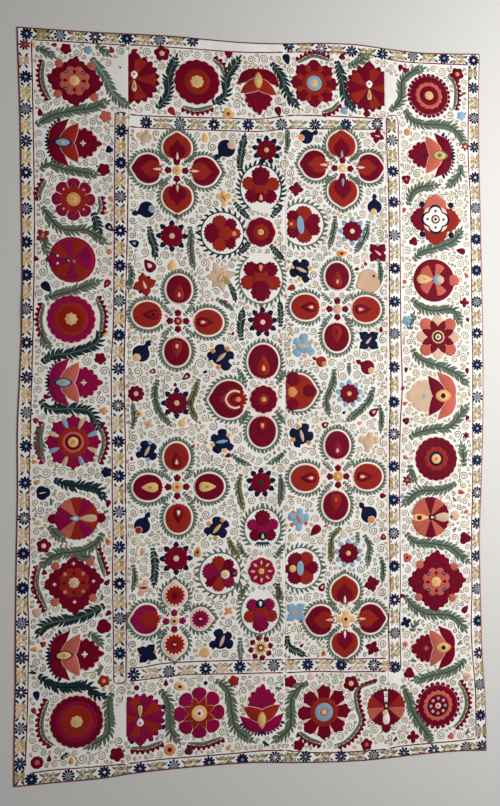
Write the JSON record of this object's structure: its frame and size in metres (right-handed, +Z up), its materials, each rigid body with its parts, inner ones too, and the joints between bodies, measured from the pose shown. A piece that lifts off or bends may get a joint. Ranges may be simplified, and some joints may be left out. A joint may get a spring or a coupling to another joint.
{
  "type": "suzani embroidered textile",
  "caption": "Cotton cloth of sewn loom widths, embroidered all over with flowers and vines inside a border and edged with a narrow woven strip, lying flat.",
  "frame": {"origin": "middle of the cloth, on the surface it lies on", "axes": "+Y along the length of the cloth, +X across its width, +Z up through the embroidered face"},
  "size_m": [1.6519, 2.5582, 0.0069],
  "materials": {
    "cotton": "plain-woven undyed cotton, matt, a little soiled",
    "edging": "narrow woven strip in dark red",
    "crimson_silk": "laid and couched silk, soft sheen",
    "magenta_silk": "laid and couched silk, soft sheen",
    "rust_silk": "laid and couched silk, soft sheen",
    "salmon_silk": "laid and couched silk, soft sheen",
    "gold_silk": "laid and couched silk, soft sheen",
    "pale_silk": "laid and couched silk, soft sheen",
    "navy_silk": "laid and couched silk, soft sheen",
    "blue_silk": "laid and couched silk, soft sheen",
    "green_silk": "laid and couched silk, soft sheen",
    "olive_silk": "laid and couched silk, soft sheen",
    "tan_silk": "fine chain-stitched silk lines"
  },
  "bodies": {
    "root": {"panel_left": "cotton", "panel_wide": "cotton", "panel_middle": "cotton", "panel_right": "cotton", "edging_left": "edging", "edging_right": "edging", "edging_top": "edging", "edging_bottom": "edging"}
  },
  "joints": []
}
